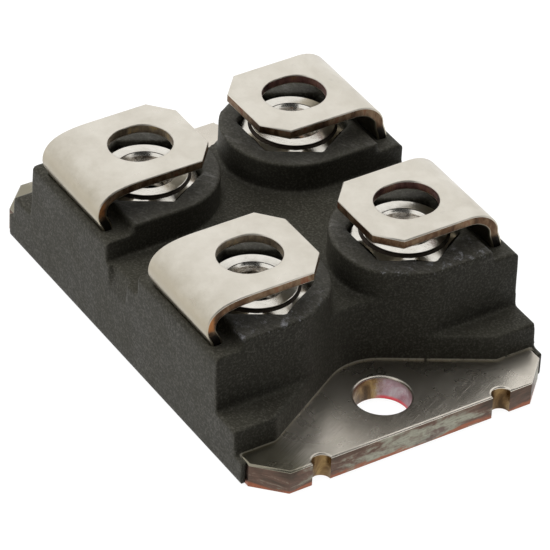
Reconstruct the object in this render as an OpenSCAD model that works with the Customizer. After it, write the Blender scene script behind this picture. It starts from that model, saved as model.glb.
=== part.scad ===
// Four-terminal power module (igbt module), isolated base, screw terminals.
// Millimetres. Origin: centre of the baseplate's bottom face. +Z up,
// X along the two mounting holes, Y across the body.

/* [Baseplate] */
// Overall length of the baseplate
plate_l = 38.1; // [36:0.1:42]
// Width of the baseplate
plate_w = 24.5; // [23:0.1:25]
// Thickness of the baseplate
plate_t = 2.0; // [1.6:0.1:2.6]
// Corner chamfer of the baseplate
plate_chamfer = 2.1; // [1:0.1:3]
// Distance between the two mounting holes
mount_pitch = 30.2; // [29:0.1:31]
// Diameter of a mounting hole
mount_d = 4.2; // [3.5:0.1:4.8]
// Distance between the two half-round notches of one end
notch_pitch = 15.1; // [12:0.1:17]
// Diameter of an end notch
notch_d = 1.5; // [1:0.1:2]

/* [Housing] */
// Width of the moulded housing
body_w = 25.3; // [25.2:0.1:27]
// Length of the housing where it meets the baseplate
foot_l = 31.6; // [31:0.1:32.4]
// Length of the side lips beside the baseplate
lip_l = 33.0; // [32.4:0.1:33.4]
// Height of the shoulder above the mounting face
shoulder_z = 4.0; // [3.4:0.1:4.6]
// Length of the upper body at the shoulder
upper_l = 26.2; // [25.8:0.1:27]
// Height of the deck between the four bosses
deck_z = 6.9; // [6.6:0.1:7.4]
// Height of the outer shelves the terminals leave through
shelf_z = 8.6; // [8.2:0.1:8.8]
// Height of the four nut bosses
boss_z = 9.4; // [9.1:0.1:9.7]
// Width of a nut boss along the body
boss_w = 10.7; // [10.2:0.1:11]
// Distance from the middle of the body to the outer step of a boss
boss_step_y = 10.4; // [10:0.1:10.8]
// Radius of the screw-head relief around a mounting hole
relief_r = 4.05; // [3.9:0.05:4.3]

/* [Terminals] */
// Distance between terminals along the body
pitch_x = 15.0; // [14.8:0.1:15.3]
// Distance between terminal holes across the body
pitch_y = 12.6; // [12.4:0.1:12.9]
// Width of a terminal
term_w = 8.0; // [7.4:0.1:8.4]
// Thickness of a terminal
term_t = 0.8; // [0.6:0.05:0.9]
// Height of the top face of the terminals
term_z = 12.05; // [11.8:0.05:12.4]
// Short width of the oval terminal hole
slot_w = 4.2; // [4:0.1:4.4]
// Long width of the oval terminal hole
slot_l = 4.85; // [4.6:0.05:5.2]
// Chamfer at the free corners of a terminal
tip_chamfer = 1.75; // [1:0.05:2.2]
// How far the folds of the left-hand side stand out further
fold_out = 0.5; // [0:0.05:0.6]

/* [Nuts] */
// Width across the flats of a captive nut
nut_af = 7.0; // [6.6:0.1:7.2]
// Height of a captive nut
nut_h = 3.2; // [2.6:0.1:3.4]
// Height of the top face of the nuts
nut_top_z = 9.5; // [9.3:0.1:10.2]
// Minor diameter of the nut thread
nut_bore = 3.3; // [3.2:0.05:3.6]
// Clearance between a nut and its pocket, all round
nut_gap = 0.1; // [0.05:0.01:0.2]

/* [Inside] */
// Length of the ceramic substrate
sub_l = 20.0; // [18:0.1:20.2]
// Width of the ceramic substrate
sub_w = 21.2; // [20.8:0.1:21.4]
// Thickness of the ceramic
ceramic_t = 0.63; // [0.4:0.01:0.8]
// Thickness of the copper on each face of the ceramic
copper_t = 0.3; // [0.2:0.01:0.35]
// Side of the square transistor die
igbt_side = 8.4; // [7.5:0.1:8.6]
// Side of the square diode die
diode_side = 6.2; // [5.5:0.1:6.8]
// Thickness of a bond wire
wire_d = 0.38; // [0.3:0.01:0.42]

/* [Hidden] */
$fn = 64;
e = 0.01;

// signs of the four corners: [x, y]
C_GATE = [-1, -1];
C_SENSE = [-1, 1];
C_EMITTER = [1, -1];
C_COLLECTOR = [1, 1];
CORNERS = [C_GATE, C_SENSE, C_EMITTER, C_COLLECTOR];

// heights of the inner stack
solder_t = 0.1;
z_back = plate_t + solder_t;
z_ceramic = z_back + copper_t;
z_track = z_ceramic + ceramic_t;
z_top = z_track + copper_t;
die_solder_t = 0.08;
die_t = 0.35;
pad_t = 0.02;
z_die = z_top + die_solder_t;
z_die_top = z_die + die_t;
z_pad_top = z_die_top + pad_t;
joint_t = 0.1;
z_foot = z_top + joint_t;
cav_l = sub_l + 0.4;
cav_w = sub_w + 0.4;
cav_z = 5.2;

// tracks
track_edge = 0.5;
side_y0 = 6.3;
side_y1 = sub_w / 2 - track_edge;
side_x1 = sub_l / 2 - track_edge;
side_x0 = 4.6;
emitter_x0 = -3.9;
main_y = 5.5;

// dies
igbt_c = [-4.6, 0];
diode_c = [4.2, 0];
gate_pad_side = 1.6;
gate_pad_c = [igbt_c[0] - igbt_side / 2 + 1.3, igbt_c[1] - igbt_side / 2 + 1.3];
pad_edge = 0.5;
sense_c = [igbt_c[0] - 1.6, igbt_c[1] + 2.2];

// leads
// upright part of a lead, then its fold: how far in it leans, how much of
// fold_out reaches it, and the height where it is vertical again
root_y = 11.7;
fold_in = 0.4;
fold_gain = 1.94;
fold_z = 10;
foot_in = side_y1 - 1.6;
foot_w = 4.0;
foot_bend = 0.8;
neck_z = 6.2;
relief_a = 60;
relief_lean = 0.45;
hole_y = pitch_y / 2;
tip_y = hole_y - slot_l / 2 - 1.95;
boss_r = boss_w / 2;
boss_cy = boss_r + 0.8;
lip_bottom = 0.15;
lip_shift = 0.2;
draft_foot = 0.24;
above = boss_z + 10;
// scar of the moulding gate: middle, width, depth and height
gate_x = -0.5;
gate_w = 2.4;
gate_d = 0.45;
gate_h = 2;
upper_top_x = pitch_x / 2 + boss_r;

// fasteners: radius of the flat face, height of the outer cone, depth of the
// thread's countersink, and room for a screw's end below the nut
nut_face_r = nut_af / 2 - 0.35;
nut_cone = 0.4;
nut_sink = 0.45;
screw_room = 0.6;

// ---------- helpers ----------
function bez(p, t) = pow(1 - t, 3) * p[0] + 3 * t * pow(1 - t, 2) * p[1]
                   + 3 * t * t * (1 - t) * p[2] + t * t * t * p[3];
function bezier(p, n) = [for (i = [1 : n]) bez(p, i / n)];
function unit(v) = v / norm(v);
function side(p, i) = let (a = p[max(i - 1, 0)], b = p[min(i + 1, len(p) - 1)],
                           d = unit(b - a)) [-d[1], d[0]];
function thick(p, t) = concat([for (i = [0 : len(p) - 1]) p[i] + side(p, i) * t / 2],
                              [for (i = [len(p) - 1 : -1 : 0]) p[i] - side(p, i) * t / 2]);

// draws a [distance across, height] outline and pushes it along X by w, centred
module along_x(w, s) {
    rotate([90, 0, 90]) translate([0, 0, -w / 2]) linear_extrude(height = w)
        scale([s, 1]) children();
}

// a box given by its lower and upper corners
module box(a, b) {
    translate(a) cube(b - a);
}

// ---------- leads ----------
// middle line of one lead from the foot to the tip, as [outward, height]
function lead_line(out) = let (
        zc = z_foot + term_t / 2, zt = term_z - term_t / 2, ry = root_y,
        hb = foot_bend, ft = ry - fold_in + out * fold_gain, fz = fold_z)
    concat(
        [[foot_in, zc], [ry - hb - 0.3, zc]],
        [for (a = [0 : 15 : 90]) [ry - hb + hb * sin(a), zc + hb - hb * cos(a)]],
        [[ry, shelf_z - 0.4]],
        bezier([[ry, shelf_z - 0.4], [ry, shelf_z + 0.55], [ft, fz - 0.5], [ft, fz]], 8),
        bezier([[ft, fz], [ft, fz + 0.6 + out], [ft - 0.8, zt], [ft - 2.2 - out * 2.4, zt]], 12),
        [[ft - 2.5 - out * 2.4, zt], [tip_y + out, zt]]);

// one lead, full section, for corner c; grow widens it for cutting
module lead_solid(c, out) {
    translate([c[0] * pitch_x / 2, 0, 0]) difference() {
        along_x(term_w, c[1]) polygon(thick(lead_line(out), term_t));
        for (s = [-1, 1]) translate([s * (foot_w / 2 + term_w / 2), 0, 0])
            cube([term_w, 60, 2 * neck_z], center = true);
    }
}

function out_of(c) = c[1] < 0 ? fold_out : 0;

module oval_hole(c, out) {
    d = (slot_l - slot_w) / 2;
    translate([c[0] * pitch_x / 2, c[1] * (hole_y + out), term_z - term_t / 2]) {
        for (s = [-1, 1]) translate([0, s * d, 0])
            cylinder(d = slot_w, h = term_t + 2, center = true);
        cube([slot_w, 2 * d, term_t + 2], center = true);
    }
}

module tip_corners(c, out) {
    k = tip_chamfer;
    for (s = [-1, 1])
        translate([c[0] * pitch_x / 2 + s * term_w / 2, c[1] * (tip_y + out), term_z - term_t - 1])
            linear_extrude(height = term_t + 2)
                polygon([[0.5 * s, -c[1] * 0.5], [-s * k, -c[1] * 0.5], [-s * k, 0],
                         [0, c[1] * k * 0.9], [0.5 * s, c[1] * k * 0.9]]);
}

module lead(c) {
    color([0.82, 0.80, 0.75]) difference() {
        lead_solid(c, out_of(c));
        oval_hole(c, out_of(c));
        tip_corners(c, out_of(c));
    }
}

// ---------- fasteners ----------
module nut_at(c) {
    color([0.86, 0.85, 0.82])
    translate([c[0] * pitch_x / 2, c[1] * hole_y, nut_top_z - nut_h]) difference() {
        intersection() {
            cylinder(d = nut_af / cos(30), h = nut_h, $fn = 6);
            rotate_extrude() polygon([[0, 0], [nut_face_r, 0], [nut_face_r + 0.9, nut_cone],
                                      [nut_face_r + 0.9, nut_h - nut_cone],
                                      [nut_face_r, nut_h], [0, nut_h]]);
        }
        translate([0, 0, -1]) cylinder(d = nut_bore, h = nut_h + 2);
        translate([0, 0, nut_h - nut_sink])
            cylinder(d1 = nut_bore, d2 = nut_bore + 2 * nut_sink, h = nut_sink + e);
        translate([0, 0, -e])
            cylinder(d2 = nut_bore, d1 = nut_bore + 2 * nut_sink, h = nut_sink + e);
    }
}

// ---------- housing ----------
// plan of a relief about its hole: round at the back, its flanks spread toward the end
module relief_plan(s) {
    tx = -s * relief_r * sin(relief_a);
    ty = relief_r * cos(relief_a);
    far = body_w / 2;
    circle(r = relief_r);
    polygon([[tx, ty], [tx + s * far * cos(relief_a), ty + far * sin(relief_a)],
             [tx + s * far * cos(relief_a), -ty - far * sin(relief_a)], [tx, -ty]]);
}

// the relief's wall leans back as it rises to the deck, then stands straight
module relief_cut(s) {
    grow = (relief_r + relief_lean) / relief_r;
    translate([s * mount_pitch / 2, 0, 0]) {
        translate([0, 0, plate_t - 1]) linear_extrude(height = 1 + e) relief_plan(s);
        translate([0, 0, plate_t]) linear_extrude(height = deck_z - plate_t, scale = grow)
            relief_plan(s);
        translate([0, 0, deck_z - e]) linear_extrude(height = above) scale(grow) relief_plan(s);
    }
}

module boss(c) {
    cx = c[0] * pitch_x / 2;
    w = boss_r + 1;
    x0 = c[0] > 0 ? cx - boss_r : cx - w;
    intersection() {
        translate([cx, c[1] * boss_cy, deck_z - 1]) cylinder(r = boss_r, h = boss_z - deck_z + 1);
        box([-foot_l, -boss_step_y, 0], [foot_l, boss_step_y, above]);
    }
    translate([x0, min(c[1] * boss_cy, c[1] * boss_step_y), deck_z - 1])
        cube([boss_r + w, boss_step_y - boss_cy, boss_z - deck_z + 1]);
    translate([x0, min(c[1] * boss_cy, c[1] * body_w / 2), deck_z - 1])
        cube([boss_r + w, body_w / 2 - boss_cy, shelf_z - deck_z + 1]);
}

// side outline of the moulding, as [along, height]
module side_outline() {
    x0 = foot_l / 2;
    x1 = foot_l / 2 - draft_foot;
    x2 = upper_l / 2;
    x3 = upper_top_x;
    polygon([[-x0, plate_t - 1], [x0, plate_t - 1], [x0, plate_t], [x1, shoulder_z],
             [x2, shoulder_z], [x3, boss_z], [x3, boss_z + 1], [-x3, boss_z + 1], [-x3, boss_z],
             [-x2, shoulder_z], [-x1, shoulder_z], [-x0, plate_t]]);
}

module across_y(w) {
    rotate([90, 0, 0]) translate([0, 0, -w / 2]) linear_extrude(height = w) children();
}

module pocket(c) {
    pz = nut_top_z - nut_h;
    translate([c[0] * pitch_x / 2, c[1] * hole_y, 0]) {
        translate([0, 0, pz]) cylinder(d = (nut_af + 2 * nut_gap) / cos(30), h = above, $fn = 6);
        translate([0, 0, pz - screw_room]) cylinder(d = nut_bore + 1.2, h = above);
    }
}

module cavity() {
    translate([0, 0, (cav_z + plate_t) / 2])
        cube([cav_l, cav_w, cav_z - plate_t], center = true);
}

module housing() {
    color([0.13, 0.13, 0.12]) difference() {
        union() {
            box([lip_shift - lip_l / 2, -body_w / 2, lip_bottom],
                [lip_shift + lip_l / 2, body_w / 2, plate_t]);
            intersection() {
                across_y(body_w) side_outline();
                union() {
                    box([-foot_l, -body_w, 0], [foot_l, body_w, deck_z]);
                    for (c = CORNERS) boss(c);
                }
            }
        }
        // room for the baseplate
        box([-lip_l, -plate_w / 2, -1], [lip_l, plate_w / 2, plate_t]);
        for (s = [-1, 1]) relief_cut(s);
        for (c = CORNERS) {
            pocket(c);
            lead_solid(c, out_of(c));
        }
        cavity();
        // broken-off moulding gate on the near long side
        translate([gate_x, -body_w / 2, deck_z]) rotate([0, 90, 0])
            linear_extrude(height = gate_w, center = true)
                polygon([[-1, -1], [-1, gate_d], [0, gate_d], [gate_h, -e], [gate_h, -1]]);
    }
}

// ---------- inside ----------
module plate_outline() {
    x = plate_l / 2;
    y = plate_w / 2;
    k = plate_chamfer;
    polygon([[x, y - k], [x - k, y], [k - x, y], [-x, y - k],
             [-x, k - y], [k - x, -y], [x - k, -y], [x, k - y]]);
}

module baseplate() {
    color([0.72, 0.68, 0.62]) difference() {
        linear_extrude(height = plate_t) plate_outline();
        for (s = [-1, 1]) {
            translate([s * mount_pitch / 2, 0, -1]) cylinder(d = mount_d, h = plate_t + 2);
            for (r = [-1, 1]) translate([s * plate_l / 2, r * notch_pitch / 2, -1])
                cylinder(d = notch_d, h = plate_t + 2);
        }
    }
}

module base_solder() {
    color([0.62, 0.63, 0.65]) translate([0, 0, plate_t + solder_t / 2])
        cube([sub_l - 1, sub_w - 1, solder_t], center = true);
}

module back_copper() {
    color([0.80, 0.47, 0.30]) translate([0, 0, z_back + copper_t / 2])
        cube([sub_l - 1, sub_w - 1, copper_t], center = true);
}

module ceramic() {
    color([0.90, 0.90, 0.87]) translate([0, 0, z_ceramic + ceramic_t / 2])
        cube([sub_l, sub_w, ceramic_t], center = true);
}

module track_gate() {
    color([0.80, 0.47, 0.30])
        box([-side_x1, -side_y1, z_track], [-side_x0, -side_y0, z_top]);
}

module track_sense() {
    color([0.80, 0.47, 0.30])
        box([-side_x1, side_y0, z_track], [-side_x0, side_y1, z_top]);
}

module track_emitter() {
    color([0.80, 0.47, 0.30])
        box([emitter_x0, -side_y1, z_track], [side_x1, -side_y0, z_top]);
}

module track_collector() {
    color([0.80, 0.47, 0.30]) union() {
        box([-side_x1, -main_y, z_track], [side_x1, main_y, z_top]);
        box([side_x0, main_y - 1, z_track], [side_x1, side_y1, z_top]);
    }
}

module square_at(c, s, z, t) {
    translate([c[0] - s / 2, c[1] - s / 2, z]) cube([s, s, t]);
}

module igbt_solder() {
    color([0.62, 0.63, 0.65]) square_at(igbt_c, igbt_side, z_top, die_solder_t);
}

module igbt_die() {
    color([0.28, 0.29, 0.32]) square_at(igbt_c, igbt_side, z_die, die_t);
}

module igbt_gate_pad() {
    color([0.85, 0.85, 0.86]) square_at(gate_pad_c, gate_pad_side, z_die_top, pad_t);
}

module igbt_emitter_pads() {
    color([0.85, 0.85, 0.86]) difference() {
        square_at(igbt_c, igbt_side - 2 * pad_edge, z_die_top, pad_t);
        square_at(gate_pad_c, gate_pad_side + 0.6, z_die_top - 1, 3);
    }
}

module diode_solder() {
    color([0.62, 0.63, 0.65]) square_at(diode_c, diode_side, z_top, die_solder_t);
}

module diode_die() {
    color([0.33, 0.33, 0.36]) square_at(diode_c, diode_side, z_die, die_t);
}

module diode_anode_pad() {
    color([0.85, 0.85, 0.86]) square_at(diode_c, diode_side - 2 * pad_edge, z_die_top, pad_t);
}

// one bond wire in a plane of constant x, from y0 (on a die) to y1 (on a track)
module bond(x, y0, y1) {
    d = y1 > y0 ? 1 : -1;
    r = wire_d / 2;
    za = z_pad_top + r;
    zb = z_top + r;
    peak = cav_z - 0.15;
    translate([x, 0, 0]) {
        translate([0, y0 - d * 0.2, za]) cube([wire_d, 0.6, wire_d], center = true);
        along_x(wire_d, 1) polygon(thick(concat([[y0, za]],
            bezier([[y0, za], [y0 + d * 0.9, peak], [y1 - d * 1.9, peak], [y1, zb]], 12)),
            wire_d));
        translate([0, y1 + d * 0.2, zb]) cube([wire_d, 0.6, wire_d], center = true);
    }
}

IGBT_WIRES = [-3.2, -2.4, -1.6];
DIODE_WIRES = [2.2, 3.5, 4.8, 6.1];
wire_end = -side_y0 - 0.7;

module wires_emitter() {
    color([0.88, 0.88, 0.90]) for (x = IGBT_WIRES) bond(x, -0.6, wire_end);
}

module wires_diode() {
    color([0.88, 0.88, 0.90]) for (x = DIODE_WIRES) bond(x, -0.6, wire_end);
}

module wire_gate() {
    color([0.88, 0.88, 0.90]) bond(gate_pad_c[0], gate_pad_c[1], wire_end);
}

module wire_sense() {
    color([0.88, 0.88, 0.90]) bond(sense_c[0], sense_c[1], -wire_end);
}

// solder under one lead foot
module foot_joint(c) {
    x = c[0] * pitch_x / 2;
    color([0.62, 0.63, 0.65])
        box([x - foot_w / 2, min(c[1] * foot_in, c[1] * side_y1), z_top],
            [x + foot_w / 2, max(c[1] * foot_in, c[1] * side_y1), z_foot]);
}

module silicone_gel() {
    color([0.75, 0.80, 0.82, 0.6]) difference() {
        cavity();
        base_solder();
        back_copper();
        ceramic();
        track_gate();
        track_sense();
        track_emitter();
        track_collector();
        square_at(igbt_c, igbt_side, z_top, z_die_top - z_top);
        square_at(diode_c, diode_side, z_top, z_die_top - z_top);
        igbt_gate_pad();
        igbt_emitter_pads();
        diode_anode_pad();
        wires_emitter();
        wires_diode();
        wire_gate();
        wire_sense();
        for (c = CORNERS) {
            foot_joint(c);
            lead_solid(c, out_of(c));
        }
    }
}

// ---------- named parts ----------
module terminal_gate() { lead(C_GATE); }
module terminal_sense() { lead(C_SENSE); }
module terminal_emitter() { lead(C_EMITTER); }
module terminal_collector() { lead(C_COLLECTOR); }
module nut_gate() { nut_at(C_GATE); }
module nut_sense() { nut_at(C_SENSE); }
module nut_emitter() { nut_at(C_EMITTER); }
module nut_collector() { nut_at(C_COLLECTOR); }
module joint_gate() { foot_joint(C_GATE); }
module joint_sense() { foot_joint(C_SENSE); }
module joint_emitter() { foot_joint(C_EMITTER); }
module joint_collector() { foot_joint(C_COLLECTOR); }

baseplate();
housing();
terminal_gate();
terminal_sense();
terminal_emitter();
terminal_collector();
nut_gate();
nut_sense();
nut_emitter();
nut_collector();
base_solder();
back_copper();
ceramic();
track_gate();
track_sense();
track_emitter();
track_collector();
igbt_solder();
igbt_die();
igbt_emitter_pads();
igbt_gate_pad();
diode_solder();
diode_die();
diode_anode_pad();
wires_emitter();
wires_diode();
wire_gate();
wire_sense();
joint_gate();
joint_sense();
joint_emitter();
joint_collector();
silicone_gel();
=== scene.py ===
"""Looks of the four-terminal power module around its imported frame.

Rounded copies of the moulding, the baseplate and the leads stand for their CAD
nodes, the nuts get a cut thread, and every surface gets a procedural material.
The scene is in metres. Sizes of the part and of its patterns are given in
millimetres, and MM turns them into metres.
"""

import math

import bmesh
import bpy
from mathutils import Matrix, Vector


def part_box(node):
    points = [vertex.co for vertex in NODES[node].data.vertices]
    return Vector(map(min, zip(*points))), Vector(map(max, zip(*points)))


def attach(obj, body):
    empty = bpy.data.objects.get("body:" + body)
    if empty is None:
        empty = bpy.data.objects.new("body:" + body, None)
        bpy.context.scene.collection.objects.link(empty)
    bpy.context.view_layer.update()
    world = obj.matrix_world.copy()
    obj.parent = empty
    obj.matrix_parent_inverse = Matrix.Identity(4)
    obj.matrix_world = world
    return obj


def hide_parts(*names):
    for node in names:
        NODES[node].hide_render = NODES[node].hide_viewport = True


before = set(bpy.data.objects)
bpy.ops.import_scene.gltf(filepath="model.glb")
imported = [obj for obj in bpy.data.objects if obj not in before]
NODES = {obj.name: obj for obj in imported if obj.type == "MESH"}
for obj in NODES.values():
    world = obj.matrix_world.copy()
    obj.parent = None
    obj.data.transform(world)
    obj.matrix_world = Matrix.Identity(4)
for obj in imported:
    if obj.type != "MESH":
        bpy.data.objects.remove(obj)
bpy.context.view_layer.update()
MM = 0.001
BODY = "root"
TERMINALS = ("gate", "sense", "emitter", "collector")


# ---------- sizes of the part, in millimetres ----------
PLATE_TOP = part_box("baseplate")[1].z / MM
HALF_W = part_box("housing")[1].y / MM      # half the width of the moulding
SHOULDER_Z = 4.0
DECK_Z = 6.9                  # the deck between the nut bosses
SHELF_Z = 8.6                 # the shelves that the leads come out of
BOSS_Z = 9.4
END_X = 13.1                  # the end wall, at the shoulder
END_DRAFT = 0.046             # how far the end wall's normal leans up
MOUNT_X = 15.1                # the middle of a mounting hole
RELIEF_R = 4.05               # the round relief about that hole, at the baseplate
RELIEF_LEAN = 0.45            # how much wider the relief is at the deck
FLANK_TURN = 60               # degrees from the Y axis to the normal of a relief's flank
TERMINAL_X = 7.5              # the middle of a lead's oval hole
TERMINAL_Y = 6.3
SHEET_T = 0.8                 # the leads' sheet
FOLD_Y = 11.95                # the outside of a lead's fold starts here


# ---------- camera ----------
CAM_AZIMUTH = 56.167          # degrees, seen from the +X, -Y side
CAM_HEIGHT = 37.534
CAM_ROLL = 3.073
CAM_DISTANCE = 315.332 * MM
CAM_OFFSET = (0.473 * MM, 2.013 * MM)     # to the camera's right and up
CAM_LENS = 281.70             # millimetres
CAM_SENSOR = 36               # millimetres


def into_scene(name, data):
    """A new object with this data, linked into the scene."""
    thing = bpy.data.objects.new(name, data)
    bpy.context.scene.collection.objects.link(thing)
    return thing


def make_camera():
    """The camera that looks at the part from CAM_AZIMUTH, CAM_HEIGHT up, rolled by CAM_ROLL."""
    a, h, r = (math.radians(v) for v in (CAM_AZIMUTH, CAM_HEIGHT, CAM_ROLL))
    back = Vector((math.sin(a) * math.cos(h), -math.cos(a) * math.cos(h), math.sin(h)))
    flat = Vector((0, 0, 1)).cross(back).normalized()
    up = back.cross(flat)
    right = math.cos(r) * flat + math.sin(r) * up
    top = math.cos(r) * up - math.sin(r) * flat
    place = right * CAM_OFFSET[0] + top * CAM_OFFSET[1] + back * CAM_DISTANCE
    data = bpy.data.cameras.new("camera")
    data.sensor_width = CAM_SENSOR
    data.lens = CAM_LENS
    data.clip_start = 0.01
    data.clip_end = 20
    camera = into_scene("camera", data)
    axes = Matrix((right, top, back)).transposed().to_4x4()
    camera.matrix_world = Matrix.Translation(place) @ axes
    bpy.context.scene.camera = camera


# ---------- shader helpers ----------
SEED_STEP = (1.0, 1.7, -1.0)  # millimetres that a pattern moves for one unit of its seed


def tinted(colour, factors):
    """A colour times one factor for each channel."""
    return tuple(channel * factor for channel, factor in zip(colour, factors))


class Shader:
    """One procedural material; its methods add nodes and return their output socket."""

    def __init__(self, name, **sockets):
        self.mat = bpy.data.materials.new(name)
        self.mat.use_nodes = True
        self.nodes = self.mat.node_tree.nodes
        self.links = self.mat.node_tree.links
        self.bsdf = self.nodes["Principled BSDF"]
        for key, value in sockets.items():
            self.set(key.replace("_", " "), value)

    def plug(self, socket, value):
        """Link a socket to another, or give it a value; a colour may leave out its alpha."""
        if isinstance(value, bpy.types.NodeSocket):
            self.links.new(value, socket)
        elif value is not None:
            if hasattr(socket.default_value, "__len__") and len(value) < len(socket.default_value):
                value = (*value, 1)
            socket.default_value = value

    def set(self, name, value):
        """Link or set an input of the surface shader."""
        self.plug(self.bsdf.inputs[name], value)

    def add(self, kind, inputs=(), **props):
        """A new shader node with its inputs, by name or number, and its properties."""
        node = self.nodes.new("ShaderNode" + kind)
        for key, value in props.items():
            setattr(node, key, value)
        for key, value in dict(inputs).items():
            self.plug(node.inputs[key], value)
        return node

    def place(self, size, seed, turn):
        """Object position in units of size millimetres, on axes turned by turn degrees."""
        size = (size,) * 3 if isinstance(size, (int, float)) else size
        coord = self.add("TexCoord").outputs["Object"]
        shift = tuple(MM * seed * step for step in SEED_STEP)
        mapping = self.add("Mapping", {"Vector": coord, "Location": shift,
                                       "Rotation": (0, 0, math.radians(turn)),
                                       "Scale": tuple(MM * s for s in size)},
                           vector_type="TEXTURE")
        return mapping.outputs["Vector"]

    def noise(self, size, seed, detail=3.0, rough=0.55, turn=0.0, warp=0.0):
        """Noise in 0..1 with spots of size millimetres."""
        node = self.add("TexNoise", {"Vector": self.place(size, seed, turn), "Scale": 1.0,
                                     "Detail": detail, "Roughness": rough, "Distortion": warp})
        return node.outputs["Fac"]

    def axis(self, index):
        """Object position along one axis, in millimetres."""
        coord = self.add("TexCoord").outputs["Object"]
        split = self.add("SeparateXYZ", {"Vector": coord})
        return self.times(split.outputs[index], 1 / MM)

    def outward(self, index):
        """Distance from the part's middle along one axis, in millimetres."""
        return self.math("ABSOLUTE", self.axis(index))

    def math(self, operation, a, b=None, clamp=False):
        """Result of a Math node; a and b are numbers or sockets."""
        return self.add("Math", {0: a, 1: b}, operation=operation, use_clamp=clamp).outputs[0]

    def times(self, a, b):
        return self.math("MULTIPLY", a, b)

    def ragged(self, value, pattern, reach):
        """Value moved up and down by a pattern in 0..1, over reach in all."""
        return self.math("ADD", value, self.times(self.math("SUBTRACT", pattern, 0.5), reach))

    def remap(self, value, low, high, to_low=0.0, to_high=1.0):
        """Smooth step of value from low to high."""
        node = self.add("MapRange", {"Value": value, "From Min": low, "From Max": high,
                                     "To Min": to_low, "To Max": to_high},
                        interpolation_type="SMOOTHSTEP")
        return node.outputs["Result"]

    def blend(self, factor, a, b):
        """Colour a where factor is 0, colour b where it is 1."""
        node = self.add("Mix", data_type="RGBA")
        self.plug(node.inputs[0], factor)
        self.plug(node.inputs[6], a)
        self.plug(node.inputs[7], b)
        return node.outputs[2]

    def ramp(self, factor, stops):
        """Colour that runs through the stops, each (position, colour)."""
        node = self.add("ValToRGB", {"Fac": factor})
        marks = node.color_ramp.elements
        while len(marks) < len(stops):
            marks.new(0.5)
        for mark, (at, colour) in zip(marks, stops):
            mark.position = at
            mark.color = (*colour, 1)
        return node.outputs["Color"]

    def bump(self, height, depth, strength, below=None):
        """Normal from a height in 0..1 over depth millimetres, on top of the normal below."""
        node = self.add("Bump", {"Height": height, "Strength": strength, "Distance": depth * MM,
                                 "Normal": below})
        self.set("Normal", node.outputs["Normal"])
        return node.outputs["Normal"]


# ---------- moulding compound ----------
def scuffs(s, top_z):
    """Grey rub marks on the boss tops, which lie at top_z: 0 to 1."""
    streak = s.noise((1.6, 0.35, 1.0), 5.5, detail=6, rough=0.7, turn=28, warp=0.6)
    patch = s.noise(2.2, 14.0, detail=2)
    on_top = s.remap(s.axis(2), top_z - 0.06, top_z - 0.01)
    rub = s.times(s.remap(streak, 0.50, 0.72), s.remap(patch, 0.38, 0.62))
    rub = s.times(rub, on_top)
    rubbed, everywhere = 0.75, 0.12
    return s.math("ADD", s.times(rub, rubbed), s.times(on_top, everywhere), clamp=True)


def chips(s, top_z):
    """Small pale chips on the bosses' +X ends, from just below top_z up: 0 to 1."""
    first_x, last_x = 9.6, 11.4
    spots = s.remap(s.noise(0.85, 40.0, detail=6, rough=0.8), 0.52, 0.66)
    spots = s.times(spots, s.remap(s.axis(2), top_z - 0.30, top_z - 0.10))
    return s.times(spots, s.remap(s.axis(0), first_x, last_x))


def flash(s, seam_z, dots):
    """Pale broken line where the moulding meets the plate, not on the long sides: 0 to 1."""
    line_z = seam_z + 0.06
    outer, inner = 0.11, 0.04             # half widths of the line and of its core
    side_y, fade = 12.4, 0.2
    line = s.remap(s.math("ABSOLUTE", s.math("SUBTRACT", s.axis(2), line_z)), outer, inner)
    inside = s.remap(s.outward(1), side_y, side_y - fade)
    return s.times(line, s.times(inside, s.remap(dots, 0.34, 0.46)))


def plastic(name, top_z, seam_z):
    """Black moulding compound: filler speckle, scuffs, chips and a line of flash."""
    dark_resin, pale_resin = (0.025, 0.0235, 0.018), (0.033, 0.0315, 0.0245)
    filler, speck = (0.060, 0.057, 0.046), (0.10, 0.095, 0.080)
    scuff, chip, flashed = (0.125, 0.120, 0.112), (0.20, 0.20, 0.21), (0.40, 0.37, 0.30)
    s = Shader(name, IOR=1.5, Specular_Tint=(1.0, 0.96, 0.84))
    grain = s.noise(0.17, 3.1, detail=4, rough=0.7)
    cloud = s.noise(2.6, 9.4, detail=3)
    dots = s.noise(0.50, 21.0, detail=5, rough=0.75)
    colour = s.blend(s.remap(cloud, 0.3, 0.7), dark_resin, pale_resin)
    colour = s.blend(s.remap(grain, 0.48, 0.68), colour, filler)
    colour = s.blend(s.remap(dots, 0.66, 0.76), colour, speck)
    colour = s.blend(scuffs(s, top_z), colour, scuff)
    colour = s.blend(chips(s, top_z), colour, chip)
    colour = s.blend(flash(s, seam_z, dots), colour, flashed)
    s.set("Base Color", colour)
    s.set("Roughness", s.remap(cloud, 0.25, 0.75, 0.46, 0.60))
    s.set("Specular IOR Level", s.remap(grain, 0.36, 0.66, 0.12, 0.28))
    s.bump(grain, 0.02, 0.28, s.bump(s.noise(0.8, 2.0, detail=2), 0.02, 0.25))
    return s.mat


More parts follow.
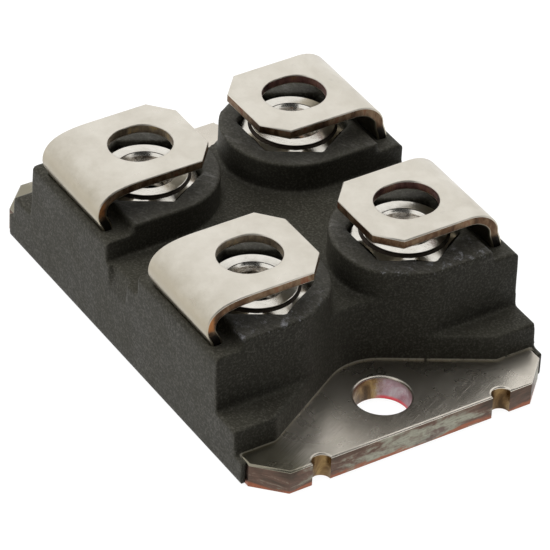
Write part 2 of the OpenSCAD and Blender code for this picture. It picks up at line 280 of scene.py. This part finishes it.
# ---------- metals ----------
def plated(name, light, dark, rough, seed, cloud_size=3.2, fold_z=None, tarnish_and_shade_y=None,
           brush=35, scratch=0.35):
    """Nickel plating with soft clouds, fine pits and hairlines.

    It is darker towards fold_z: painted shade for the dimmer reflection low on a fold.
    Where y is less than tarnish_and_shade_y it is darker too: tarnish, with painted shade
    for the moulding's dark reflection. The hairlines lie brush degrees round, and scratch is
    how strongly they show.
    """
    s = Shader(name, Metallic=1.0)
    cloud = s.noise(cloud_size, seed, detail=4, rough=0.6, warp=0.4)
    stain = s.noise(cloud_size * 0.35, seed + 7, detail=5, rough=0.7)
    pits = s.noise(0.12, seed + 3, detail=3, rough=0.6)
    hair = s.noise((3.0, 0.06, 3.0), seed + 11, detail=3, turn=brush)
    colour = s.blend(s.remap(cloud, 0.30, 0.70), dark, light)
    colour = s.blend(s.times(s.remap(stain, 0.60, 0.75), 0.35), colour,
                     tinted(dark, (0.72, 0.72, 0.72)))
    if fold_z is not None:
        # painted shade: the plating darkens down the fold, for its dimmer reflection there
        fold_shade_height = s.ragged(s.axis(2), stain, 1.2)
        fold_shade = s.remap(fold_shade_height, fold_z + 2.5, fold_z + 0.2)
        colour = s.blend(fold_shade, colour, tinted(dark, (0.60, 0.57, 0.50)))
    if tarnish_and_shade_y is not None:
        # tarnish with painted shade: darker towards -Y, for the moulding's dark reflection
        far = s.ragged(s.axis(1), hair, 3.5)
        colour = s.blend(s.remap(far, tarnish_and_shade_y + 1.6, tarnish_and_shade_y - 0.6, 0.0, 0.85), colour,
                         tinted(dark, (0.38, 0.38, 0.31)))
    s.set("Base Color", colour)
    s.set("Roughness", s.remap(cloud, 0.3, 0.7, rough + 0.06, rough - 0.03))
    s.bump(pits, 0.008, 0.22, s.bump(s.remap(hair, 0.56, 0.70), 0.004, scratch))
    return s.mat


def lead_edge(s, colour, leg_z, grime):
    """Golden copper outside a lead's fold, its brightness partly a painted highlight; painted
    shade, near black, below leg_z.
    """
    golden, under_fold_shade = (0.42, 0.17, 0.055), (0.016, 0.013, 0.010)
    uneven = 0.8
    out = s.ragged(s.outward(1), grime, uneven)
    up = s.ragged(s.axis(2), grime, uneven)
    # copper colour with a painted highlight where the cut edge catches light by the fold
    fold_copper_and_highlight = s.times(s.remap(out, FOLD_Y, FOLD_Y + 0.3), s.remap(up, leg_z, leg_z + 0.4))
    colour = s.blend(s.times(fold_copper_and_highlight, 0.85), colour, golden)
    # painted shade: the cut edge goes near black under the fold
    return s.blend(s.remap(up, leg_z + 0.2, leg_z - 0.4), colour, under_fold_shade)


def plate_edge(s, colour, foot_z, patch):
    """Red copper on the baseplate's cut edge below foot_z."""
    red = (0.36, 0.125, 0.065)
    up = s.ragged(s.axis(2), patch, 2.4)
    return s.blend(s.remap(up, foot_z + 0.25, foot_z - 0.1, 0.0, 0.9), colour, red)


def sheared(name, seed, tones, rough=0.42, patches=(1.3, 1.3, 2.6), lines=(0.10, 0.10, 1.6),
            leg_z=None, foot_z=None):
    """Cut edge of plated copper: streaks of size lines, oxide patches of size patches.

    The tones run through the patches. A lead's edge has leg_z, see lead_edge. The
    baseplate's has foot_z, see plate_edge, and its tones shift from the middle outwards.
    """
    first_mark, mark_span = 0.34, 0.32
    s = Shader(name, Metallic=0.9)
    patch = s.noise(patches, seed, detail=4, rough=0.6, warp=0.5)
    streak = s.noise(lines, seed + 4, detail=3, rough=0.6)
    grime = s.noise(0.45, seed + 9, detail=5, rough=0.7)
    mixed = s.math("ADD", s.times(patch, 0.78), s.times(grime, 0.22))
    if foot_z is not None:
        mixed = s.math("ADD", mixed, s.remap(s.outward(1), 2.5, 8.5, 0.04, -0.11))
    colour = s.ramp(mixed, [(first_mark + mark_span * i / (len(tones) - 1), tone)
                            for i, tone in enumerate(tones)])
    colour = s.blend(s.remap(streak, 0.55, 0.72, 0.0, 0.45), colour,
                     tinted(tones[0], (0.35, 0.35, 0.35)))
    if leg_z is not None:
        colour = lead_edge(s, colour, leg_z, grime)
    if foot_z is not None:
        colour = plate_edge(s, colour, foot_z, patch)
    s.set("Base Color", colour)
    s.set("Roughness", s.remap(grime, 0.3, 0.7, rough - 0.08, rough + 0.14))
    s.bump(streak, 0.03, 0.5, s.bump(grime, 0.03, 0.35))
    return s.mat


def bored(name, seed):
    """Wall of the plate's holes and notches: golden copper.

    The far half of a hole is purple-grey, with bright red at its foot.
    """
    s = Shader(name, Metallic=0.9)
    patch = s.noise((1.6, 1.6, 2.6), seed, detail=4, rough=0.6, warp=0.8)
    grime = s.noise(0.45, seed + 9, detail=5, rough=0.7)
    gold = s.ramp(patch, [(0.36, (0.06, 0.034, 0.014)), (0.50, (0.15, 0.088, 0.036)),
                          (0.66, (0.30, 0.20, 0.085))])
    grey = s.ramp(patch, [(0.36, (0.26, 0.13, 0.15)), (0.50, (0.34, 0.24, 0.26)),
                          (0.64, (0.46, 0.44, 0.44))])
    along = s.ragged(s.axis(1), grime, 1.5)
    far = s.times(s.remap(along, 0.5, 1.5), s.remap(along, 3.4, 2.9))
    colour = s.blend(far, gold, grey)
    red = (0.62, 0.035, 0.05)
    low = s.times(far, s.remap(s.axis(2), 0.45, 0.15))
    colour = s.blend(s.times(low, 0.9), colour, red)
    s.set("Base Color", colour)
    s.set("Roughness", s.remap(grime, 0.3, 0.7, 0.24, 0.42))
    s.bump(grime, 0.03, 0.35)
    return s.mat


# ---------- inner materials ----------
def fine_grained(name, light, dark, rough, size, metallic=1.0):
    """Inner metal or ceramic with a grain of size millimetres."""
    s = Shader(name, Metallic=metallic)
    cloud = s.noise(size, 4.0, detail=4, rough=0.65)
    s.set("Base Color", s.blend(s.remap(cloud, 0.3, 0.7), dark, light))
    s.set("Roughness", s.remap(cloud, 0.3, 0.7, rough + 0.08, rough - 0.05))
    s.bump(s.noise(size * 0.15, 6.0, detail=3), 0.006, 0.4)
    return s.mat


def silicon():
    """Polished die with the faint stripes of its cell rows."""
    row_wave = 42.0           # radians for each millimetre
    s = Shader("silicon", Metallic=0.6, Roughness=0.16)
    rows = s.math("SINE", s.times(s.axis(0), row_wave))
    s.set("Base Color", s.blend(s.remap(rows, -0.2, 0.6), (0.10, 0.11, 0.15), (0.17, 0.17, 0.21)))
    s.bump(rows, 0.002, 0.3)
    return s.mat


def gel():
    """Clear potting gel."""
    s = Shader("gel", IOR=1.41, Roughness=0.08, Transmission_Weight=0.85)
    fold_shade_height = s.noise(3.0, 8.0, detail=2)
    s.set("Base Color", s.blend(fold_shade_height, (0.82, 0.88, 0.90), (0.92, 0.95, 0.96)))
    s.bump(s.noise(1.8, 3.0, detail=2), 0.03, 0.3)
    return s.mat


# ---------- mesh helpers ----------
LEVEL_NORMAL = 0.9995         # a face this level, and over LEVEL_AREA, is shaded flat
LEVEL_AREA = 0.3              # square millimetres
WELD = 0.002                  # points nearer than this are one point
COPLANAR = 0.4                # degrees within which triangles join into one face
SHARP = 60                    # degrees over which an edge counts as a corner
UPRIGHT = 0.15                # a face whose normal rises less than this is a wall
SIDEWAYS = 0.3                # a lead's face whose normal has more than this along X is cut
FIRST_SLOT, CUT_SLOT, BORE_SLOT = 0, 1, 2     # material slots; the first is the plating


def add_piece(name, mesh, materials, node, smooth=35):
    """A finished mesh in the scene that stands for a CAD node.

    Edges over smooth degrees stay sharp, and level faces stay flat.
    """
    piece = into_scene(name, mesh)
    for material in materials:
        mesh.materials.append(material)
    mesh.set_sharp_from_angle(angle=math.radians(smooth))
    for polygon in mesh.polygons:
        level = abs(polygon.normal.z) > LEVEL_NORMAL and polygon.area > LEVEL_AREA * MM * MM
        polygon.use_smooth = not level
    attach(piece, BODY)
    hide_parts(node)
    return piece


def node_copy(node):
    """A bmesh of a CAD node with its triangles joined into flat faces."""
    work = bmesh.new()
    work.from_mesh(NODES[node].data)
    bmesh.ops.remove_doubles(work, verts=work.verts, dist=WELD * MM)
    bmesh.ops.dissolve_limit(work, angle_limit=math.radians(COPLANAR),
                             use_dissolve_boundaries=False, verts=work.verts, edges=work.edges)
    work.normal_update()
    return work


def corner_edges(work, test):
    """Corner edges between two faces that pass test."""
    return [edge for edge in work.edges
            if len(edge.link_faces) == 2
            and edge.calc_face_angle(0) >= math.radians(SHARP)
            and test(edge)]


def round_edges(work, edges, size, segments, slot):
    """Round edges by size millimetres; the new faces take the material of slot."""
    bmesh.ops.bevel(work, geom=edges, offset=size * MM, offset_type="OFFSET",
                    segments=segments, profile=0.5, affect="EDGES",
                    clamp_overlap=False, material=slot)


def to_mesh(work, name):
    """The bmesh as a finished mesh; the bmesh is freed."""
    mesh = bpy.data.meshes.new(name)
    work.to_mesh(mesh)
    work.free()
    stale = mesh.attributes.get("custom_normal")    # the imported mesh's, wrong after a bevel
    if stale:
        mesh.attributes.remove(stale)
    return mesh


# ---------- moulding ----------
def melted(node, voxel, rounds, keep):
    """A CAD node as one dense skin with softened corners, in millimetres.

    The skin's points lie voxel apart and are smoothed rounds times, and the share keep
    of its triangles stays.
    """
    mesh = NODES[node].data.copy()
    mesh.transform(Matrix.Scale(1 / MM, 4))
    holder = into_scene("holder", mesh)
    skin = holder.modifiers.new("skin", "REMESH")
    skin.mode = "VOXEL"
    skin.voxel_size = voxel
    ease = holder.modifiers.new("ease", "SMOOTH")
    ease.iterations = rounds
    thin = holder.modifiers.new("thin", "DECIMATE")
    thin.ratio = keep
    graph = bpy.context.evaluated_depsgraph_get()
    done = bpy.data.meshes.new_from_object(holder.evaluated_get(graph))
    bpy.data.objects.remove(holder)
    done.materials.clear()
    return done


def round_corner(mesh, first, second, radius, near):
    """Round the convex corner of two planes, each (outward normal, point), in millimetres.

    Only points that pass near are moved.
    """
    a, b = (Vector(plane[0]).normalized() for plane in (first, second))
    reach_a, reach_b = a.dot(Vector(first[1])), b.dot(Vector(second[1]))
    lean = a.dot(b)
    for vertex in mesh.vertices:
        spot = vertex.co
        if not near(spot):
            continue
        u = a.dot(spot) - reach_a + radius
        v = b.dot(spot) - reach_b + radius
        along_a = (u - lean * v) / (1 - lean * lean)
        along_b = (v - lean * u) / (1 - lean * lean)
        if along_a <= 0 or along_b <= 0:
            continue
        away = along_a * a + along_b * b
        if away.length > radius:
            vertex.co = spot - away * (1 - radius / away.length)


def ease_long_side(mesh, side):
    """Round the outer edges of the shelves and of the deck on one long side."""
    shelf_round, deck_round = 0.5, 0.25
    channel_half, channel_y = 2, 12       # only here does the deck reach the long side
    wall = ((0, side, 0), (0, side * HALF_W, 0))

    def by_shelf(p):
        return p.z > DECK_Z + 0.3 and p.y * side > HALF_W - 0.6

    def by_deck(p):
        in_channel = abs(p.x) < channel_half and p.y * side > channel_y
        return in_channel and abs(p.z - DECK_Z) < 0.35

    round_corner(mesh, wall, ((0, 0, 1), (0, 0, SHELF_Z)), shelf_round, by_shelf)
    round_corner(mesh, wall, ((0, 0, 1), (0, 0, DECK_Z)), deck_round, by_deck)


def ease_relief(mesh, side, end):
    """Round the corner between one flank of a relief and the end wall above the shoulder.

    The flank leans up to the deck and is upright over it.
    """
    flank_round = 3.2
    near_x, near_y = 11, 2.2              # the corner lies further out than this
    turn = math.radians(FLANK_TURN)
    across = Vector((end * math.sin(turn), -side * math.cos(turn), 0))
    rise = Vector((0, 0, RELIEF_LEAN / (DECK_Z - PLATE_TOP)))
    hole = Vector((end * MOUNT_X, 0, PLATE_TOP))
    end_wall = ((end, 0, END_DRAFT), (end * END_X, 0, SHOULDER_Z))
    leaning = (across + rise, hole - RELIEF_R * across)
    upright = (across, hole - (RELIEF_R + RELIEF_LEAN) * across)

    def between(low, high):
        return lambda p: low < p.z <= high and p.x * end > near_x and p.y * side > near_y

    round_corner(mesh, leaning, end_wall, flank_round, between(SHOULDER_Z + 0.1, DECK_Z))
    round_corner(mesh, upright, end_wall, flank_round, between(DECK_Z, math.inf))


def seat_on_plate(mesh):
    """Sink the foot of the ends a little into the baseplate, so that it meets it crisply."""
    ends_x, side_gap = 11, 0.5
    below, above, sunk = 0.15, 0.22, 0.04
    for vertex in mesh.vertices:
        over_plate = abs(vertex.co.x) > ends_x and abs(vertex.co.y) < HALF_W - side_gap
        if over_plate and PLATE_TOP - below < vertex.co.z < PLATE_TOP + above:
            vertex.co.z = PLATE_TOP - sunk


def make_housing(skin):
    """The moulding with its corners softened, and crisp where it meets the baseplate."""
    mesh = melted("housing", voxel=0.15, rounds=2, keep=0.55)
    for side in (-1, 1):
        ease_long_side(mesh, side)
        for end in (-1, 1):
            ease_relief(mesh, side, end)
    seat_on_plate(mesh)
    mesh.transform(Matrix.Scale(MM, 4))
    piece = add_piece("housing_moulding", mesh, [skin], "housing", smooth=80)


# ---------- leads ----------
def make_lead(node, plating, cut, bore):
    """A lead whose cut edges and hole wall show bare copper under a rolled bright rim."""
    hole_reach = 3.0          # the oval hole's wall lies nearer to its middle than this
    work = node_copy(node)
    low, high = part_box(node)
    hole = Vector((math.copysign(TERMINAL_X * MM, low.x), math.copysign(TERMINAL_Y * MM, low.y)))
    sheet_foot = high.z - (SHEET_T + 0.02) * MM
    for face in work.faces:
        centre = face.calc_center_median()
        wall = abs(face.normal.z) < UPRIGHT and centre.z > sheet_foot
        if wall and (centre.xy - hole).length < hole_reach * MM:
            face.material_index = BORE_SLOT
        elif wall or abs(face.normal.x) > SIDEWAYS:
            face.material_index = CUT_SLOT
        else:
            face.material_index = FIRST_SLOT

    def rim(edge):
        slots = sorted(face.material_index for face in edge.link_faces)
        return slots[0] == FIRST_SLOT and slots[1] > FIRST_SLOT

    round_edges(work, corner_edges(work, rim), size=0.12, segments=3, slot=FIRST_SLOT)
    piece = add_piece(node + "_lead", to_mesh(work, node + "_lead"), [plating, cut, bore], node)


# ---------- baseplate ----------
def make_plate(plating, cut, bore):
    """The baseplate with a rolled top rim, a sharper foot and bare copper between them."""
    bore_facet = 1.2          # square millimetres; flat side walls are larger
    wall_rise = 0.3           # the normal of a side wall rises less than this
    near_z = 0.01 * MM
    work = node_copy("baseplate")
    low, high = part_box("baseplate")
    for face in work.faces:
        if abs(face.normal.z) < wall_rise:
            round_wall = face.calc_area() < bore_facet * MM * MM
            face.material_index = BORE_SLOT if round_wall else CUT_SLOT

    def top_rim(edge):
        return all(v.co.z > high.z - near_z for v in edge.verts)

    def foot_rim(edge):
        return all(v.co.z < low.z + near_z for v in edge.verts)

    round_edges(work, corner_edges(work, top_rim), size=0.14, segments=3, slot=FIRST_SLOT)
    round_edges(work, corner_edges(work, foot_rim), size=0.06, segments=2, slot=CUT_SLOT)
    piece = add_piece("baseplate_stamped", to_mesh(work, "baseplate_stamped"),
                      [plating, cut, bore], "baseplate")


# ---------- nuts, in millimetres from the nut's foot ----------
THREAD_MINOR, THREAD_MAJOR = 1.65, 2.0    # radii of M4
THREAD_PITCH = 0.7
MOUTH_R, MOUTH_D = 2.05, 0.23             # the cone that leads into the thread
CONE_R = 2.25                             # the rim of the cone, in the turned face
FACE_IN = 0.37                            # from the flats in to the turned face
GROOVE_W, GROOVE_D = 0.19, 0.12           # the groove round the turned face, dark with dirt and painted shade
CHAMFER = 0.75                            # drop of the chamfer for each millimetre out
CORNER_EASE, CORNER_TURN = 0.12, 6        # how far a corner is worn, over how many degrees
THREAD_FOOT, BORE_FOOT = 0.35, 0.3        # where the thread ends, and the bore
RING_STEPS = 96                           # points in a ring
TURN_RINGS = 14                           # rings in one turn of the thread
THREAD_SLOT, GROOVE_SLOT = 1, 2           # material slots of a nut, after the first


def hexagon_r(angle, flat_r):
    """Distance to a hexagon's side at an angle, its corners eased."""
    off = (angle + math.pi / 6) % (math.pi / 3) - math.pi / 6
    reach = flat_r / math.cos(math.pi / 6 - abs(off))
    return reach - CORNER_EASE * max(0.0, 1 - abs(off) / math.radians(CORNER_TURN)) ** 2


def thread_r(angle, z):
    """Distance to a cut thread at an angle and a height."""
    crest, flank = 0.12, 0.72             # shares of half a pitch
    turned = ((z - THREAD_PITCH * angle / (2 * math.pi)) / THREAD_PITCH) % 1.0
    ridge = abs(turned - 0.5) * 2
    depth = min(1.0, max(0.0, (ridge - crest) / flank))
    return THREAD_MINOR + (THREAD_MAJOR - THREAD_MINOR) * depth


def nut_rings(flat_r, top):
    """Rings of a nut from its foot over the top and down the bore.

    Each is (distance, height, material slot), and distance and height may be functions
    of the angle.
    """
    face_r = flat_r - FACE_IN
    mouth_z = top - MOUTH_D
    break_w, break_d = 0.03, 0.02         # the small broken edges of the turned face

    def side(angle):
        return hexagon_r(angle, flat_r)

    def drop(angle):
        return max(0.0, side(angle) - face_r) * CHAMFER

    def bore_at(z):
        """The thread at height z, cut back by the lead-in cone."""
        return lambda angle: max(thread_r(angle, z), MOUTH_R - (mouth_z - z))

    rings = [(MOUTH_R, 0, FIRST_SLOT),
             (face_r, 0, FIRST_SLOT),
             (side, drop, FIRST_SLOT),
             (side, lambda angle: top - drop(angle), FIRST_SLOT),
             # the groove takes the dark slot: dirt and painted shade
             (face_r + GROOVE_W, top - GROOVE_D - GROOVE_W * CHAMFER, GROOVE_SLOT),
             (face_r + break_d, top - GROOVE_D, GROOVE_SLOT),
             (face_r, top - break_d, FIRST_SLOT),
             (face_r - break_w, top, FIRST_SLOT),
             # painted shade: a dark line round the rim of the lead-in cone
             (CONE_R + break_w, top, GROOVE_SLOT),
             (CONE_R - break_d, top - break_w, FIRST_SLOT),
             (MOUTH_R, mouth_z, THREAD_SLOT)]
    count = int((mouth_z - THREAD_FOOT) / THREAD_PITCH * TURN_RINGS)
    for i in range(1, count + 1):
        z = mouth_z - i * THREAD_PITCH / TURN_RINGS
        rings.append((bore_at(z), z, THREAD_SLOT))
    rings.append((THREAD_MINOR, BORE_FOOT, THREAD_SLOT))
    return rings


def lofted(rings, middle, turn):
    """A closed bmesh through rings of points about middle, turned by turn radians."""
    angles = [2 * math.pi * i / RING_STEPS for i in range(RING_STEPS)]
    work = bmesh.new()

    def at(value, angle):
        return (value(angle) if callable(value) else value) * MM

    loops = []
    for reach, level, _ in rings:
        loops.append([work.verts.new((middle.x + at(reach, a) * math.cos(a + turn),
                                      middle.y + at(reach, a) * math.sin(a + turn),
                                      middle.z + at(level, a))) for a in angles])
    for i, (_, _, slot) in enumerate(rings):
        first, second = loops[i], loops[(i + 1) % len(loops)]
        for k in range(RING_STEPS):
            n = (k + 1) % RING_STEPS
            face = work.faces.new((first[k], first[n], second[n], second[k]))
            face.material_index = slot
    bmesh.ops.recalc_face_normals(work, faces=work.faces)
    return work


def make_nut(node, bright, thread, groove, turn, lift):
    """Hexagon nut: turned face, groove dark with dirt and painted shade, chamfer, cut M4 thread,
    its top raised by lift.
    """
    low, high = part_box(node)
    middle = Vector(((low.x + high.x) / 2, (low.y + high.y) / 2, low.z))
    flat_r = (high.y - low.y) / 2 / MM    # corners point along X
    top = (high.z - low.z) / MM + lift
    work = lofted(nut_rings(flat_r, top), middle, turn)
    piece = add_piece(node + "_hex", to_mesh(work, node + "_hex"), [bright, thread, groove],
                      node, smooth=24)


# ---------- studio, in metres ----------
ROOM_LIGHT = 0.35             # what the walls of the room add to the lamps
FLOOR_REACH = 3.0
FLOOR_Z = -0.02 * MM          # just under the part
LAMPS = {                     # name: (place, side of the square, watts)
    "top_box": ((-0.05, 0.05, 0.50), 0.45, 1.9),
    "left_box": ((-0.30, -0.45, 0.40), 0.35, 3.0),
}
CARDS = {
    "card_right": ((0.35, -0.60, 0.0), (0.35, 0.70, 0.0), (0.31, 0.70, 0.25),
                   (0.31, -0.60, 0.25)),
    "card_over": ((0.30, -0.42, 0.34), (0.30, 0.16, 0.34), (0.07, 0.04, 0.50),
                  (0.07, -0.14, 0.50)),
}


def seen_direct(nodes, links):
    """1 for what the camera sees straight, in a mirror or through glass, 0 for light rays."""
    path = nodes.new("ShaderNodeLightPath")
    total = path.outputs["Is Camera Ray"]
    for key in ("Is Glossy Ray", "Is Transmission Ray"):
        most = nodes.new("ShaderNodeMath")
        most.operation = "MAXIMUM"
        links.new(total, most.inputs[0])
        links.new(path.outputs[key], most.inputs[1])
        total = most.outputs[0]
    return total


def make_room():
    """Walls that look white, also in mirrors, and light the part with ROOM_LIGHT only."""
    scene = bpy.context.scene
    scene.view_settings.view_transform = "Standard"
    world = bpy.data.worlds.new("studio")
    scene.world = world
    world.use_nodes = True
    nodes, links = world.node_tree.nodes, world.node_tree.links
    level = nodes.new("ShaderNodeMapRange")
    level.inputs["To Min"].default_value = ROOM_LIGHT
    level.inputs["To Max"].default_value = 1.0
    links.new(seen_direct(nodes, links), level.inputs["Value"])
    back = nodes["Background"]
    back.inputs["Color"].default_value = (1, 1, 1, 1)
    links.new(level.outputs["Result"], back.inputs["Strength"])


def make_lamp(name, place, size, power):
    """A square softbox that faces the part and shows in no mirror."""
    data = bpy.data.lights.new(name, "AREA")
    data.shape = "SQUARE"
    data.size = size
    data.energy = power
    lamp = into_scene(name, data)
    lamp.location = place
    lamp.rotation_euler = (-Vector(place)).to_track_quat("-Z", "Y").to_euler()
    lamp.visible_glossy = False


def one_face(name, corners):
    """An object of one flat face."""
    work = bmesh.new()
    work.faces.new([work.verts.new(corner) for corner in corners])
    return into_scene(name, to_mesh(work, name))


def make_card(name, corners):
    """A dark studio card that shades one side of the metal; the camera looks past it."""
    card = one_face(name, corners)
    card.visible_camera = False
    card.visible_shadow = False
    s = Shader("card_felt", Roughness=0.9, Specular_IOR_Level=0.1)
    felt = s.noise(1.5, 2.0, detail=3)
    s.set("Base Color", s.blend(felt, (0.02, 0.02, 0.02), (0.05, 0.05, 0.05)))
    card.data.materials.append(s.mat)


def make_floor():
    """Paper that looks white, also in mirrors, and lights the part as grey paper would."""
    grey, dim_grey, white = (0.5, 0.5, 0.5), (0.16, 0.16, 0.16), (1, 1, 1)
    glow_power = 0.93
    floor = one_face("floor", [(x * FLOOR_REACH, y * FLOOR_REACH, FLOOR_Z)
                               for x, y in ((-1, -1), (1, -1), (1, 1), (-1, 1))])
    s = Shader("floor_paper")
    lit = s.add("BsdfDiffuse", {"Color": dim_grey})
    glow = s.add("Emission", {"Color": white, "Strength": glow_power})
    bright = s.add("AddShader", {0: lit.outputs[0], 1: glow.outputs[0]})
    paper = s.add("BsdfDiffuse", {"Color": grey})
    pick = s.add("MixShader", {0: seen_direct(s.nodes, s.links), 1: paper.outputs[0],
                               2: bright.outputs[0]})
    s.links.new(pick.outputs[0], s.nodes["Material Output"].inputs["Surface"])
    floor.data.materials.append(s.mat)


# ---------- put together ----------
PLATE_CUT = [(0.08, 0.060, 0.046), (0.145, 0.092, 0.070), (0.34, 0.340, 0.270),
             (0.17, 0.125, 0.105)]
LEAD_CUT = [(0.050, 0.028, 0.016), (0.110, 0.058, 0.030), (0.220, 0.150, 0.090),
            (0.200, 0.075, 0.040)]
GREY_BORE = [(0.07, 0.055, 0.040), (0.18, 0.145, 0.105), (0.32, 0.26, 0.19), (0.60, 0.44, 0.20)]
PURPLE_BORE = [(0.06, 0.030, 0.026), (0.14, 0.068, 0.062), (0.22, 0.115, 0.10), (0.30, 0.17, 0.10)]
LEAD_BORES = {"gate": GREY_BORE, "sense": PURPLE_BORE, "emitter": GREY_BORE,
              "collector": PURPLE_BORE}
THREAD_TONES = [(0.07, 0.050, 0.035), (0.26, 0.225, 0.18), (0.62, 0.57, 0.49), (0.30, 0.20, 0.13)]
# dirt and painted shade, for the nuts' groove and the cone's rim
GROOVE_DIRT_AND_SHADE_TONES = [(0.016, 0.012, 0.009), (0.035, 0.027, 0.020), (0.060, 0.048, 0.038)]
NUT_PLACES = {                # name: (degrees turned, millimetres that the top is raised)
    "gate": (-5, -0.05),
    "sense": (3, 0.0),
    "emitter": (1, -0.08),
    "collector": (4, 0.10),
}


def dress_plate():
    make_plate(plated("plate_nickel", light=(0.70, 0.65, 0.57), dark=(0.56, 0.52, 0.45),
                      rough=0.27, seed=2.0, cloud_size=5.0, tarnish_and_shade_y=-9.2, brush=116, scratch=0.6),
               sheared("plate_cut", seed=3.0, tones=PLATE_CUT, patches=(4.0, 4.0, 1.1),
                       lines=(2.4, 2.4, 0.09), foot_z=0.22),
               bored("plate_bore", seed=8.0))


def dress_leads():
    for index, corner in enumerate(TERMINALS):
        make_lead("terminal_" + corner,
                  plated("lead_nickel_" + corner, light=(0.77, 0.73, 0.65),
                         dark=(0.69, 0.65, 0.57), rough=0.30, seed=13.0 * index + 1, fold_z=10.0),
                  sheared("lead_cut_" + corner, seed=17.0 * index, tones=LEAD_CUT, leg_z=9.8),
                  sheared("lead_bore_" + corner, seed=17.0 * index + 5,
                          tones=LEAD_BORES[corner]))


def dress_nuts():
    bright = plated("nut_nickel", light=(0.80, 0.77, 0.71), dark=(0.72, 0.69, 0.62), rough=0.16,
                    seed=5.0, cloud_size=1.5)
    thread = sheared("nut_thread", seed=6.0, tones=THREAD_TONES, rough=0.24,
                     patches=(1.6, 1.6, 0.6), lines=(2.0, 2.0, 0.12))
    groove = sheared("nut_groove_dirt_and_shade", seed=7.0, tones=GROOVE_DIRT_AND_SHADE_TONES, rough=0.55)
    for corner in TERMINALS:
        turn, lift = NUT_PLACES[corner]
        make_nut("nut_" + corner, bright, thread, groove, math.radians(turn), lift)


def set_material(nodes, material):
    """Give CAD nodes that are shown as they are their material."""
    for node in nodes:
        data = NODES[node].data
        data.materials.clear()
        data.materials.append(material)


def dress_inside():
    joints = ["joint_" + corner for corner in TERMINALS]
    tracks = ["track_" + corner for corner in TERMINALS]
    pads = ["igbt_emitter_pads", "igbt_gate_pad", "diode_anode_pad"]
    wires = ["wires_emitter", "wires_diode", "wire_gate", "wire_sense"]
    set_material(["base_solder", "igbt_solder", "diode_solder"] + joints,
                 fine_grained("solder", light=(0.60, 0.61, 0.63), dark=(0.48, 0.49, 0.52),
                              rough=0.42, size=0.8))
    set_material(["back_copper"] + tracks,
                 fine_grained("copper", light=(0.80, 0.42, 0.25), dark=(0.66, 0.32, 0.18),
                              rough=0.34, size=1.2))
    set_material(["ceramic"],
                 fine_grained("ceramic", light=(0.88, 0.87, 0.83), dark=(0.82, 0.81, 0.76),
                              rough=0.55, size=0.6, metallic=0.0))
    set_material(["igbt_die", "diode_die"], silicon())
    set_material(pads + wires,
                 fine_grained("aluminium", light=(0.88, 0.88, 0.89), dark=(0.80, 0.80, 0.82),
                              rough=0.28, size=0.3))
    set_material(["silicone_gel"], gel())


make_camera()
make_room()
for lamp_name, lamp in LAMPS.items():
    make_lamp(lamp_name, *lamp)
make_floor()
for card_name, card_corners in CARDS.items():
    make_card(card_name, card_corners)
make_housing(plastic("moulding", BOSS_Z, PLATE_TOP))
dress_plate()
dress_leads()
dress_nuts()
dress_inside()
